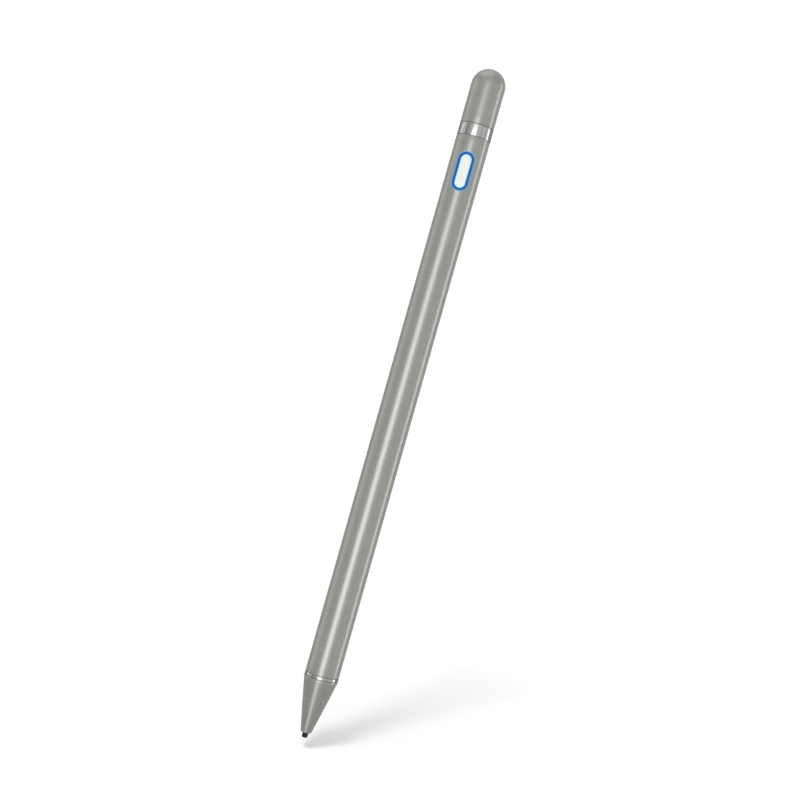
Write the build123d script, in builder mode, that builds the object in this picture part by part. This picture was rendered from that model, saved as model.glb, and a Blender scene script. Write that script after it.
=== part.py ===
import math
import os

from build123d import *

os.makedirs("parts", exist_ok=True)

# Rechargeable stylus pen. Millimetres. The pen stands along +Z with the tip of
# the nib at the origin, and its push button faces -Y.

# ---------------------------------------------------------------- overall
pen_r = 4.40  # outer radius of barrel, rings and cap
nose_z = 1.50  # front face of the cone
cone_end_z = 15.94  # shoulder of the cone
front_ring_z0, front_ring_z1 = 15.98, 16.82  # narrow bright ring
barrel_z0, barrel_z1 = 16.86, 158.10
barrel_in_r = 3.80
rear_ring_z0, rear_ring_z1 = 158.14, 161.25  # broad bright ring
cap_z0 = 161.31  # rim of the cap
dome_z = 171.96  # centre of the cap's half-sphere
edge = 0.12  # chamfer on the edges that meet at a seam

# ---------------------------------------------------------------- writing tip
nib_r = 0.75
nib_collar_r, nib_collar_z0, nib_collar_z1 = 1.15, 2.88, 3.72
nib_stem_r, nib_stem_z = 0.45, 8.00
nose_hole_r = 0.80
nose_bore_r, nose_bore_z = 1.20, 2.85  # bore that takes the nib's collar
tail_bore_r, tail_bore_z = 1.85, 8.00  # wider bore behind it
core_r0, core_r1, core_step_z = 0.95, 1.20, 8.64
core_head_r, core_head_z0, core_head_z1 = 1.60, 21.16, 21.62
sleeve_gap = 0.02
sleeve_flange_r, sleeve_flange_z0, sleeve_flange_z1 = 2.30, 20.64, 21.14

# ---------------------------------------------------------------- tip thread
neck_r = 2.42
thread_pitch = 0.50
thread_crest_r, thread_root_r = 2.75, 2.46
thread_z0, thread_z1 = 17.10, 20.60
thread_gap = 0.06  # radial play between the two threads
thread_phase_z = 16.98  # height where the ridge passes the +X side
thread_half_crest = 0.045  # half the ridge's crest along the axis
thread_half_base = 0.200  # half the ridge's base along the axis
bush_r = 3.78
bush_z0, bush_thread_z1, bush_z1 = 17.05, 21.05, 22.50
ring_bore_r = 2.48

# ---------------------------------------------------------------- tip contact
block_r, block_z0, block_z1 = 3.76, 22.60, 31.00
spring_bore_r, terminal_z0, terminal_z1 = 1.50, 26.05, 26.60
spring_r, spring_wire_r = 0.90, 0.14
spring_z0, spring_z1 = 21.78, 25.90
terminal_pin_r, terminal_pin_z = 0.50, 31.40

# ---------------------------------------------------------------- battery
cell_r, cell_z0, cell_z1 = 3.30, 33.50, 98.50
pad_t = 0.96
lead_r, lead_x, lead_y = 0.22, 1.20, -0.63
tip_lead_r = 0.18
tip_lead_x, tip_lead_y = 2.52, -2.50

# ---------------------------------------------------------------- board
board_w, board_t = 6.40, 0.80
board_z0, board_z1 = 100.70, 162.30
carrier_r, carrier_in_r = 3.74, 3.00
carrier_z0, carrier_z1 = 100.50, 155.00
carrier_lip_y = -0.90
sit = 0.01  # solder film under the parts on the board

# ---------------------------------------------------------------- push button
button_z = 148.85
window_l, window_w = 10.05, 4.15
light_l, light_w = 9.95, 4.05
light_in_l, light_in_w = 8.65, 2.75
light_r = 4.385
light_bottom_y = 2.75
light_flange_l, light_flange_w, light_flange_r = 10.90, 5.00, 3.75
key_l, key_w, key_r = 8.55, 2.65, 4.36
key_flange_l, key_flange_w = 9.50, 3.60
key_flange_y0, key_flange_y1 = 2.25, 2.65
key_stem_r, key_stem_y = 0.70, 1.87
switch_w, switch_h, switch_l = 2.90, 1.00, 3.50
plunger_r, plunger_hole_r, plunger_y0, plunger_y1 = 0.62, 0.68, 0.85, 1.85

# ---------------------------------------------------------------- tail and port
plug_r, plug_z0 = 3.78, 155.50
spigot_r, spigot_z0, spigot_z1 = 3.95, 161.28, 168.00
rear_ring_bore_r = 3.81
port_z0 = 162.50
port_half_w, port_half_low = 3.45, 2.70  # inside of the port, wide and narrow side
port_wide_y, port_knee_y, port_low_y = -0.575, 0.200, 1.275
port_wall = 0.25
tongue_half_w, tongue_y0, tongue_y1, tongue_z1 = 1.90, 0.05, 0.55, 167.30
contact_pitch, contact_w, contact_t = 0.65, 0.36, 0.11

# ---------------------------------------------------------------- cap
cap_bore_r = 4.00
liner_r, liner_z0, liner_z1 = 3.98, 168.30, 171.90
magnet_r, magnet_z0, magnet_z1 = 3.00, 168.36, 170.40


def polar(r, a):
    return (r * math.cos(math.radians(a)), r * math.sin(math.radians(a)))


def thread_section(crest, root, z):
    """Cross-section of a single-start thread at height z."""
    a1 = 360.0 * thread_half_crest / thread_pitch
    a2 = 360.0 * thread_half_base / thread_pitch
    turn = 360.0 * (z - thread_phase_z) / thread_pitch
    n = 8
    falling = [polar(crest + (root - crest) * i / n, a1 + (a2 - a1) * i / n) for i in range(n + 1)]
    rising = [polar(root + (crest - root) * i / n, -a2 + (a2 - a1) * i / n) for i in range(n + 1)]
    with BuildSketch() as section:
        with BuildLine():
            ThreePointArc(polar(crest, -a1), polar(crest, 0), polar(crest, a1))
            Spline(*falling)
            ThreePointArc(polar(root, a2), polar(root, 180), polar(root, -a2))
            Spline(*rising)
        make_face()
    return section.sketch.faces()[0].rotate(Axis.Z, turn).translate((0, 0, z))


def thread_core(crest, root, z0, z1):
    """Solid of that section turned one full turn for each pitch of height."""
    return Solid.extrude_linear_with_rotation(
        thread_section(crest, root, z0), (0, 0, z0), (0, 0, z1 - z0), 360.0 * (z1 - z0) / thread_pitch
    )


# ================================================================ writing tip
with BuildPart() as nib:
    with BuildSketch(Plane.XZ):
        with BuildLine():
            l1 = ThreePointArc((0, 0), (0.18, 0.008), (0.36, 0.035))
            l2 = ThreePointArc(l1 @ 1, (0.64, 0.16), (nib_r, 0.46))
            Polyline(
                l2 @ 1,
                (nib_r, nib_collar_z0),
                (nib_collar_r, nib_collar_z0),
                (nib_collar_r, nib_collar_z1),
                (nib_stem_r, nib_collar_z1),
                (nib_stem_r, nib_stem_z),
                (0, nib_stem_z),
                (0, 0),
            )
        make_face()
    revolve(axis=Axis.Z)
nib.part.label = "nib"
export_step(nib.part, "parts/nib.step")

with BuildPart() as nose_cone:
    with BuildSketch(Plane.XZ):
        with BuildLine():
            Line((nose_hole_r + 0.06, nose_z), (1.24, nose_z))
            ThreePointArc((1.24, nose_z), (1.375, 1.545), (1.435, 1.68))
            ThreePointArc((1.435, 1.68), (3.150, 9.46), (4.300, 15.05))
            ThreePointArc((4.300, 15.05), (4.365, 15.36), (pen_r, 15.68))
            Polyline(
                (pen_r, 15.68),
                (pen_r, cone_end_z - edge),
                (pen_r - edge, cone_end_z),
                (neck_r, cone_end_z),
                (neck_r, thread_z0),
                (tail_bore_r, thread_z0),
                (tail_bore_r, tail_bore_z),
                (nose_bore_r, tail_bore_z),
                (nose_bore_r, nose_bore_z),
                (nose_hole_r, nose_bore_z),
                (nose_hole_r, nose_z + 0.06),
                (nose_hole_r + 0.06, nose_z),
            )
        make_face()
    revolve(axis=Axis.Z)
    # threaded spigot that screws into the barrel's bush
    add(thread_core(thread_crest_r, thread_root_r, thread_z0, thread_z1))
    with BuildSketch(Plane.XY.offset(thread_z0 - 0.5)):
        Circle(tail_bore_r)
    extrude(amount=thread_z1 - thread_z0 + 1.0, mode=Mode.SUBTRACT)
nose_cone.part.label = "nose_cone"
export_step(nose_cone.part, "parts/nose_cone.step")

with BuildPart() as nib_core:
    with BuildSketch(Plane.XZ):
        with BuildLine():
            Polyline(
                (nib_stem_r + sleeve_gap, nib_collar_z1 + 0.04),
                (core_r0, nib_collar_z1 + 0.04),
                (core_r0, core_step_z),
                (core_r1, core_step_z),
                (core_r1, core_head_z0),
                (core_head_r, core_head_z0),
                (core_head_r, core_head_z1 - 0.1),
                (core_head_r - 0.1, core_head_z1),
                (0, core_head_z1),
                (0, nib_stem_z + 0.1),
                (nib_stem_r + sleeve_gap, nib_stem_z + 0.1),
                close=True,
            )
        make_face()
    revolve(axis=Axis.Z)
nib_core.part.label = "nib_core"
export_step(nib_core.part, "parts/nib_core.step")

with BuildPart() as tip_insulator:
    with BuildSketch(Plane.XZ):
        with BuildLine():
            Polyline(
                (core_r0 + sleeve_gap, nib_collar_z1 + 0.04),
                (nose_bore_r - sleeve_gap, nib_collar_z1 + 0.04),
                (nose_bore_r - sleeve_gap, tail_bore_z + sleeve_gap),
                (tail_bore_r - sleeve_gap, tail_bore_z + sleeve_gap),
                (tail_bore_r - sleeve_gap, sleeve_flange_z0),
                (sleeve_flange_r, sleeve_flange_z0),
                (sleeve_flange_r, sleeve_flange_z1),
                (core_r1 + sleeve_gap, sleeve_flange_z1),
                (core_r1 + sleeve_gap, core_step_z - sleeve_gap),
                (core_r0 + sleeve_gap, core_step_z - sleeve_gap),
                close=True,
            )
        make_face()
    revolve(axis=Axis.Z)
tip_insulator.part.label = "tip_insulator"
export_step(tip_insulator.part, "parts/tip_insulator.step")

# ================================================================ front ring, captive on the cone's neck
with BuildPart() as front_ring:
    with BuildSketch(Plane.XZ):
        with BuildLine():
            Polyline(
                (ring_bore_r, front_ring_z0),
                (pen_r - edge, front_ring_z0),
                (pen_r, front_ring_z0 + edge),
                (pen_r, front_ring_z1 - edge),
                (pen_r - edge, front_ring_z1),
                (ring_bore_r, front_ring_z1),
                close=True,
            )
        make_face()
    revolve(axis=Axis.Z)
front_ring.part.label = "front_ring"
export_step(front_ring.part, "parts/front_ring.step")

# ================================================================ barrel and its bush
with BuildPart() as barrel:
    with BuildSketch(Plane.XZ):
        with BuildLine():
            Polyline(
                (barrel_in_r, barrel_z0),
                (pen_r - edge, barrel_z0),
                (pen_r, barrel_z0 + edge),
                (pen_r, barrel_z1 - edge),
                (pen_r - edge, barrel_z1),
                (barrel_in_r, barrel_z1),
                close=True,
            )
        make_face()
    revolve(axis=Axis.Z)
    # window of the push button
    with BuildSketch(Plane.XZ):
        with Locations((0, button_z)):
            SlotOverall(window_l, window_w, rotation=90)
    extrude(amount=pen_r + 1, mode=Mode.SUBTRACT)
barrel.part.label = "barrel"
export_step(barrel.part, "parts/barrel.step")

with BuildPart() as front_bush:
    with BuildSketch(Plane.XY.offset(bush_z0)):
        Circle(bush_r)
    extrude(amount=bush_z1 - bush_z0)
    add(
        thread_core(thread_crest_r + thread_gap, thread_root_r + thread_gap, bush_z0, bush_thread_z1),
        mode=Mode.SUBTRACT,
    )
    with BuildSketch(Plane.XY.offset(bush_thread_z1)):
        Circle(thread_crest_r + thread_gap + 0.05)
    extrude(amount=bush_z1 - bush_thread_z1, mode=Mode.SUBTRACT)
front_bush.part.label = "front_bush"
export_step(front_bush.part, "parts/front_bush.step")

# ================================================================ tip contact
with BuildPart() as contact_block:
    with BuildSketch(Plane.XZ):
        with BuildLine():
            Polyline(
                (spring_bore_r, block_z0),
                (block_r, block_z0),
                (block_r, block_z1),
                (terminal_pin_r + sleeve_gap, block_z1),
                (terminal_pin_r + sleeve_gap, terminal_z1 + sleeve_gap),
                (spring_bore_r, terminal_z1 + sleeve_gap),
                close=True,
            )
        make_face()
    revolve(axis=Axis.Z)
contact_block.part.label = "contact_block"
export_step(contact_block.part, "parts/contact_block.step")

with BuildPart() as contact_terminal:
    with BuildSketch(Plane.XZ):
        with BuildLine():
            Polyline(
                (0, terminal_z0),
                (spring_bore_r - 0.05, terminal_z0),
                (spring_bore_r - 0.05, terminal_z1),
                (terminal_pin_r, terminal_z1),
                (terminal_pin_r, terminal_pin_z - 0.1),
                (terminal_pin_r - 0.1, terminal_pin_z),
                (0, terminal_pin_z),
                close=True,
            )
        make_face()
    revolve(axis=Axis.Z)
contact_terminal.part.label = "contact_terminal"
export_step(contact_terminal.part, "parts/contact_terminal.step")

with BuildPart() as contact_spring:
    with BuildLine() as spring_path:
        Helix(pitch=(spring_z1 - spring_z0) / 5.25, height=spring_z1 - spring_z0, radius=spring_r, center=(0, 0, spring_z0))
    with BuildSketch(Plane(origin=spring_path.line @ 0, z_dir=spring_path.line % 0)):
        Circle(spring_wire_r)
    sweep(path=spring_path.line, is_frenet=True)
contact_spring.part.label = "contact_spring"
export_step(contact_spring.part, "parts/contact_spring.step")

# ================================================================ battery
with BuildPart() as battery_cell:
    with BuildSketch(Plane.XZ):
        with BuildLine():
            Polyline(
                (0, cell_z0),
                (cell_r - 0.3, cell_z0),
                (cell_r, cell_z0 + 0.3),
                (cell_r, cell_z1 - 0.3),
                (cell_r - 0.3, cell_z1),
                (0, cell_z1),
                close=True,
            )
        make_face()
    revolve(axis=Axis.Z)
battery_cell.part.label = "battery_cell"
export_step(battery_cell.part, "parts/battery_cell.step")

with BuildPart() as battery_pad_front:
    with BuildSketch(Plane.XY.offset(cell_z0 - 0.02 - pad_t)):
        Circle(cell_r)
    extrude(amount=pad_t)
battery_pad_front.part.label = "battery_pad_front"
export_step(battery_pad_front.part, "parts/battery_pad_front.step")

with BuildPart() as battery_pad_rear:
    with BuildSketch(Plane.XY.offset(cell_z1 + 0.02)):
        Circle(cell_r)
        with Locations((-lead_x, lead_y), (lead_x, lead_y)):
            Circle(lead_r + 0.06, mode=Mode.SUBTRACT)
    extrude(amount=pad_t)
battery_pad_rear.part.label = "battery_pad_rear"
export_step(battery_pad_rear.part, "parts/battery_pad_rear.step")

with BuildPart() as battery_leads:
    with BuildSketch(Plane.XY.offset(cell_z1 + 0.01)):
        with Locations((-lead_x, lead_y), (lead_x, lead_y)):
            Circle(lead_r)
    extrude(amount=6.0)
battery_leads.part.label = "battery_leads"
export_step(battery_leads.part, "parts/battery_leads.step")

# wire from the terminal, along the cell, to the board
tip_lead_points = [
    (0, 0, terminal_pin_z + 0.01),
    (0, 0, 31.98),
    (tip_lead_x, tip_lead_y, 31.98),
    (tip_lead_x, tip_lead_y, 99.80),
    (2.20, -0.60, 103.20),
    (2.20, -0.60, 107.00),
]
with BuildPart() as tip_lead:
    with BuildLine() as lead_path:
        FilletPolyline(*tip_lead_points, radius=[0.40, 0.50, 2.5, 2.5])
    with BuildSketch(Plane(origin=lead_path.line @ 0, z_dir=lead_path.line % 0)):
        Circle(tip_lead_r)
    sweep(path=lead_path.line)
tip_lead.part.label = "tip_lead"
export_step(tip_lead.part, "parts/tip_lead.step")

# ================================================================ board and what is on it
with BuildPart() as board_carrier:
    with BuildSketch(Plane.XY.offset(carrier_z0)):
        Circle(carrier_r)
        Circle(carrier_in_r, mode=Mode.SUBTRACT)
        with Locations((0, carrier_lip_y - 2.5)):
            Rectangle(10, 5, mode=Mode.SUBTRACT)
    extrude(amount=carrier_z1 - carrier_z0)
    # bulkhead behind the cell
    with BuildSketch(Plane.XY.offset(carrier_z0)):
        Circle(carrier_in_r + 0.2)
        with Locations((0, board_t / 2 + 0.1 - 5)):
            Rectangle(10, 10, mode=Mode.SUBTRACT)
    extrude(amount=1.2)
    # grooves for the board's edges
    with BuildSketch(Plane.XY.offset(carrier_z0)):
        Rectangle(board_w + 0.08, board_t + 0.06)
    extrude(amount=carrier_z1 - carrier_z0, mode=Mode.SUBTRACT)
board_carrier.part.label = "board_carrier"
export_step(board_carrier.part, "parts/board_carrier.step")

with BuildPart() as main_board:
    with BuildSketch(Plane.XZ.offset(-board_t / 2)):
        with Locations((0, (board_z0 + board_z1) / 2)):
            RectangleRounded(board_w, board_z1 - board_z0, 0.4)
    extrude(amount=board_t)
main_board.part.label = "main_board"
export_step(main_board.part, "parts/main_board.step")

chip_face = board_t / 2 + sit  # distance of the chips' feet from the board's middle

with BuildPart() as microcontroller:
    with BuildSketch(Plane.XZ.offset(chip_face)):
        with Locations((0, 126.0)):
            Rectangle(4.0, 4.0)
    extrude(amount=0.85)
    chamfer(microcontroller.faces().sort_by(Axis.Y)[0].edges(), 0.08)
microcontroller.part.label = "microcontroller"
export_step(microcontroller.part, "parts/microcontroller.step")

with BuildPart() as charger_chip:
    with BuildSketch(Plane.XZ.offset(chip_face + 0.10)):
        with Locations((0, 136.0)):
            Rectangle(1.6, 2.9)
    extrude(amount=1.0)
    # five legs
    with BuildSketch(Plane.XZ.offset(chip_face)):
        with Locations((-0.95, 135.05), (-0.95, 136.0), (-0.95, 136.95), (0.95, 135.05), (0.95, 136.95)):
            Rectangle(0.9, 0.38)
    extrude(amount=0.16)
charger_chip.part.label = "charger_chip"
export_step(charger_chip.part, "parts/charger_chip.step")

with BuildPart() as boost_inductor:
    with BuildSketch(Plane.XZ.offset(-chip_face)):
        with Locations((0, 118.0)):
            RectangleRounded(3.0, 3.0, 0.3)
    extrude(amount=-1.3)
    with BuildSketch(Plane.XZ.offset(-chip_face - 1.3)):
        with Locations((0, 118.0)):
            Circle(1.2)
    extrude(amount=-0.15)
boost_inductor.part.label = "boost_inductor"
export_step(boost_inductor.part, "parts/boost_inductor.step")

with BuildPart() as capacitors:
    with BuildSketch(Plane.XZ.offset(-chip_face)):
        with Locations((-1.6, 124.0), (1.6, 124.0), (-1.6, 130.0), (1.6, 130.0), (0, 138.0), (0, 143.0)):
            Rectangle(0.8, 1.6)
    extrude(amount=-0.8)
    with BuildSketch(Plane.XZ.offset(chip_face)):
        with Locations((-1.8, 131.5), (1.8, 131.5), (0, 114.0), (0, 119.0)):
            Rectangle(0.8, 1.6)
    extrude(amount=0.8)
capacitors.part.label = "capacitors"
export_step(capacitors.part, "parts/capacitors.step")

with BuildPart() as indicator_leds:
    with BuildSketch(Plane.XZ.offset(chip_face)):
        with Locations((0, button_z - 3.3), (0, button_z + 3.3)):
            Rectangle(0.8, 1.6)
    extrude(amount=0.55)
indicator_leds.part.label = "indicator_leds"
export_step(indicator_leds.part, "parts/indicator_leds.step")

# ================================================================ push button
with BuildPart() as switch_body:
    with BuildSketch(Plane.XZ.offset(chip_face)):
        with Locations((0, button_z)):
            RectangleRounded(switch_w, switch_l, 0.2)
            Circle(plunger_hole_r, mode=Mode.SUBTRACT)
    extrude(amount=switch_h)
switch_body.part.label = "switch_body"
export_step(switch_body.part, "parts/switch_body.step")

with BuildPart() as switch_plunger:
    with BuildSketch(Plane.XZ.offset(plunger_y0)):
        with Locations((0, button_z)):
            Circle(plunger_r)
    extrude(amount=plunger_y1 - plunger_y0)
switch_plunger.part.label = "switch_plunger"
export_step(switch_plunger.part, "parts/switch_plunger.step")

with BuildPart() as button_key:
    # flange that keeps the key behind the light ring
    with BuildSketch(Plane.XZ.offset(key_flange_y0)):
        with Locations((0, button_z)):
            SlotOverall(key_flange_l, key_flange_w, rotation=90)
    extrude(amount=key_flange_y1 - key_flange_y0)
    with BuildSketch(Plane.XZ.offset(key_flange_y1)):
        with Locations((0, button_z)):
            SlotOverall(key_l, key_w, rotation=90)
    extrude(amount=2.5)
    # stem that bears on the switch
    with BuildSketch(Plane.XZ.offset(key_stem_y)):
        with Locations((0, button_z)):
            Circle(key_stem_r)
    extrude(amount=key_flange_y0 - key_stem_y + 0.1)
    # the face follows the round of the barrel
    with BuildSketch(Plane.XY.offset(button_z - key_l)):
        Circle(key_r)
    extrude(amount=2 * key_l, mode=Mode.INTERSECT)
button_key.part.label = "button_key"
export_step(button_key.part, "parts/button_key.step")

# flange of the light ring, inside the barrel
with BuildPart() as light_flange:
    with BuildSketch(Plane.XZ.offset(light_bottom_y)):
        with Locations((0, button_z)):
            SlotOverall(light_flange_l, light_flange_w, rotation=90)
    extrude(amount=light_flange_r - light_bottom_y)
    with BuildSketch(Plane.XY.offset(button_z - light_l)):
        Circle(light_flange_r)
    extrude(amount=2 * light_l, mode=Mode.INTERSECT)

with BuildPart() as light_ring:
    with BuildSketch(Plane.XZ.offset(light_bottom_y)):
        with Locations((0, button_z)):
            SlotOverall(light_l, light_w, rotation=90)
    extrude(amount=2.5)
    with BuildSketch(Plane.XY.offset(button_z - light_l)):
        Circle(light_r)
    extrude(amount=2 * light_l, mode=Mode.INTERSECT)
    add(light_flange.part)
    # opening for the key
    with BuildSketch(Plane.XZ):
        with Locations((0, button_z)):
            SlotOverall(light_in_l, light_in_w, rotation=90)
    extrude(amount=pen_r + 1, mode=Mode.SUBTRACT)
light_ring.part.label = "light_ring"
export_step(light_ring.part, "parts/light_ring.step")

# ================================================================ tail and charging port
port_inner = [
    (-port_half_w, port_wide_y),
    (port_half_w, port_wide_y),
    (port_half_w, port_knee_y),
    (port_half_low, port_low_y),
    (-port_half_low, port_low_y),
    (-port_half_w, port_knee_y),
]

with BuildPart() as rear_ring:
    with BuildSketch(Plane.XZ):
        with BuildLine():
            Polyline(
                (rear_ring_bore_r, rear_ring_z0),
                (pen_r - edge, rear_ring_z0),
                (pen_r, rear_ring_z0 + edge),
                (pen_r, rear_ring_z1 - edge),
                (pen_r - edge, rear_ring_z1),
                (rear_ring_bore_r, rear_ring_z1),
                close=True,
            )
        make_face()
    revolve(axis=Axis.Z)
rear_ring.part.label = "rear_ring"
export_step(rear_ring.part, "parts/rear_ring.step")

with BuildPart() as tail_plug:
    with BuildSketch(Plane.XZ):
        with BuildLine():
            Polyline(
                (0, plug_z0),
                (plug_r - 0.2, plug_z0),
                (plug_r, plug_z0 + 0.2),
                (plug_r, spigot_z0),
                (spigot_r, spigot_z0),
                (spigot_r, spigot_z1 - 0.25),
                (spigot_r - 0.18, spigot_z1),
                (0, spigot_z1),
                close=True,
            )
        make_face()
    revolve(axis=Axis.Z)
    # slot for the board's end
    with BuildSketch(Plane.XY.offset(plug_z0)):
        Rectangle(board_w + 0.08, board_t + 0.06)
    extrude(amount=port_z0 - plug_z0 + 0.2, mode=Mode.SUBTRACT)
    # room over the contacts' feet
    with BuildSketch(Plane.XY.offset(160.6)):
        with Locations((0, 0.55)):
            Rectangle(3.8, 0.7)
    extrude(amount=port_z0 - 160.6 + 0.1, mode=Mode.SUBTRACT)
    # pocket for the port
    with BuildSketch(Plane.XY.offset(port_z0 - 0.02)):
        with BuildLine():
            Polyline(*port_inner, close=True)
        make_face()
        offset(amount=port_wall + 0.03, kind=Kind.ARC)
    extrude(amount=spigot_z1 - port_z0 + 0.1, mode=Mode.SUBTRACT)
tail_plug.part.label = "tail_plug"
export_step(tail_plug.part, "parts/tail_plug.step")

with BuildPart() as usb_shell:
    with BuildSketch(Plane.XY.offset(port_z0)):
        with BuildLine():
            Polyline(*port_inner, close=True)
        make_face()
        offset(amount=port_wall, kind=Kind.ARC)
        with BuildLine():
            Polyline(*port_inner, close=True)
        make_face(mode=Mode.SUBTRACT)
    extrude(amount=spigot_z1 - port_z0)
usb_shell.part.label = "usb_shell"
export_step(usb_shell.part, "parts/usb_shell.step")

# profile of one contact, seen from the side: foot on the board, then along the tongue
foot_y = board_t / 2 + sit
contact_profile = [
    (foot_y, 160.90),
    (foot_y + contact_t, 160.90),
    (foot_y + contact_t, 162.35),
    (tongue_y1 + contact_t, 162.60),
    (tongue_y1 + contact_t, 166.90),
    (tongue_y1, 166.90),
    (tongue_y1, 162.62),
    (foot_y, 162.37),
]
with BuildPart() as usb_contacts:
    for i in range(5):
        with BuildSketch(Plane.YZ.offset((i - 2) * contact_pitch - contact_w / 2)):
            with BuildLine():
                Polyline(*contact_profile, close=True)
            make_face()
        extrude(amount=contact_w)
usb_contacts.part.label = "usb_contacts"
export_step(usb_contacts.part, "parts/usb_contacts.step")

with BuildPart() as usb_tongue:
    with BuildSketch(Plane.XY.offset(port_z0)):
        with BuildLine():
            Polyline(*port_inner, close=True)
        make_face()
        offset(amount=-0.02)
    extrude(amount=0.8)
    with BuildSketch(Plane.XY.offset(port_z0 + 0.8)):
        with Locations((0, (tongue_y0 + tongue_y1) / 2)):
            Rectangle(2 * tongue_half_w, tongue_y1 - tongue_y0)
    extrude(amount=tongue_z1 - port_z0 - 0.8)
    # channels for the contacts through the back wall
    for i in range(5):
        with BuildSketch(Plane.XY.offset(port_z0)):
            with Locations(((i - 2) * contact_pitch, tongue_y1)):
                Rectangle(contact_w + 0.04, 2 * contact_t + 0.06)
        extrude(amount=0.8, mode=Mode.SUBTRACT)
usb_tongue.part.label = "usb_tongue"
export_step(usb_tongue.part, "parts/usb_tongue.step")

# ================================================================ cap
with BuildPart() as cap:
    with BuildSketch(Plane.XZ):
        with BuildLine():
            Polyline((cap_bore_r, dome_z), (cap_bore_r, cap_z0), (pen_r - edge, cap_z0), (pen_r, cap_z0 + edge), (pen_r, dome_z))
            ThreePointArc(
                (pen_r, dome_z),
                (pen_r * math.cos(math.pi / 4), dome_z + pen_r * math.sin(math.pi / 4)),
                (0, dome_z + pen_r),
            )
            Line((0, dome_z + pen_r), (0, dome_z + cap_bore_r))
            ThreePointArc(
                (0, dome_z + cap_bore_r),
                (cap_bore_r * math.cos(math.pi / 4), dome_z + cap_bore_r * math.sin(math.pi / 4)),
                (cap_bore_r, dome_z),
            )
        make_face()
    revolve(axis=Axis.Z)
cap.part.label = "cap"
export_step(cap.part, "parts/cap.step")

with BuildPart() as cap_liner:
    with BuildSketch(Plane.XZ):
        with BuildLine():
            Polyline(
                (magnet_r + sleeve_gap, liner_z0),
                (liner_r, liner_z0),
                (liner_r, liner_z1),
                (0, liner_z1),
                (0, magnet_z1 + sleeve_gap),
                (magnet_r + sleeve_gap, magnet_z1 + sleeve_gap),
                close=True,
            )
        make_face()
    revolve(axis=Axis.Z)
cap_liner.part.label = "cap_liner"
export_step(cap_liner.part, "parts/cap_liner.step")

with BuildPart() as cap_magnet:
    with BuildSketch(Plane.XY.offset(magnet_z0)):
        Circle(magnet_r)
    extrude(amount=magnet_z1 - magnet_z0)
    chamfer(cap_magnet.edges().filter_by(GeomType.CIRCLE), 0.12)
cap_magnet.part.label = "cap_magnet"
export_step(cap_magnet.part, "parts/cap_magnet.step")
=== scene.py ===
import math

import bmesh
import bpy
import numpy as np
from mathutils import Matrix, Vector


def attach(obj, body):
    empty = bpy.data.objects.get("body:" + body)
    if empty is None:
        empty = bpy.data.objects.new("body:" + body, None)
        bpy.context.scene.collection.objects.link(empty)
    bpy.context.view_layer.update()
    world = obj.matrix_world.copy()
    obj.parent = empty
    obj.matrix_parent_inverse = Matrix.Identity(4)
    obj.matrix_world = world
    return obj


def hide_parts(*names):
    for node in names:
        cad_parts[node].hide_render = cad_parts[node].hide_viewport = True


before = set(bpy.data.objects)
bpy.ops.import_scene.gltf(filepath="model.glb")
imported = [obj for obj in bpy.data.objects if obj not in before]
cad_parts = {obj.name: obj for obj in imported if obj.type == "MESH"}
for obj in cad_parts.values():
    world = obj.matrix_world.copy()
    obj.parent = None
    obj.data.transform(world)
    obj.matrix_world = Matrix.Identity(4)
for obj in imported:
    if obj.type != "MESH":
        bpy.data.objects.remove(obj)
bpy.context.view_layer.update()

scene = bpy.context.scene
MM = 0.001

# ------------------------------------------------------------------ sizes, in mm
PEN_R = 4.40
BARREL_Z0, BARREL_Z1, BARREL_IN_R = 16.86, 158.10, 3.80
BUTTON_Z, SLOT_HALF = 148.85, 2.95  # middle of the button, half of its straight sides
WINDOW_W, LIGHT_W, LIGHT_IN_W, KEY_W = 2.075, 2.025, 1.375, 1.325  # half widths
STEP = 2.5  # degrees between the columns of a turned piece
FLOOR_Z = -3.0

# view of the photograph
CAM_AZ, CAM_ROLL = 4.40, 15.7745
CAM_DIST, CAM_Z, CAM_SIDE, CAM_LENS = 341.0, 89.2, 0.10, 60.34


# ------------------------------------------------------------------ mesh tools
def solid(name, verts, faces, sharp=28.0):
    """A mesh object from points in mm. Shared points are welded and the normals face out."""
    me = bpy.data.meshes.new(name)
    me.from_pydata([(x * MM, y * MM, z * MM) for x, y, z in verts], [], faces)
    bm = bmesh.new()
    bm.from_mesh(me)
    bmesh.ops.remove_doubles(bm, verts=bm.verts[:], dist=2e-7)
    bmesh.ops.dissolve_degenerate(bm, edges=bm.edges[:], dist=1e-7)
    bmesh.ops.delete(bm, geom=[v for v in bm.verts if not v.link_faces], context="VERTS")
    bmesh.ops.recalc_face_normals(bm, faces=bm.faces[:])
    bm.to_mesh(me)
    bm.free()
    me.shade_smooth()
    me.set_sharp_from_angle(angle=math.radians(sharp))
    ob = bpy.data.objects.new(name, me)
    scene.collection.objects.link(ob)
    return ob


class Build:
    """Collects points and faces; rows are rings of points that are joined by quads."""

    def __init__(self):
        self.v, self.f = [], []

    def row(self, pts):
        i = len(self.v)
        self.v.extend(tuple(map(float, p)) for p in pts)
        return list(range(i, i + len(pts)))

    def skin(self, a, b, closed=True, skip=()):
        n = len(a)
        for j in range(n if closed else n - 1):
            if j in skip:
                continue
            k = (j + 1) % n
            self.f.append((a[j], a[k], b[k], b[j]))

    def object(self, name, sharp=28.0):
        return solid(name, self.v, self.f, sharp)


PHI = [math.radians(-50 + STEP * j) for j in range(int(360 / STEP))]


def ring(r, z):
    """Ring of points; phi is counted from -Y towards +X."""
    return [(r * math.sin(p), -r * math.cos(p), z) for p in PHI]


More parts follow.
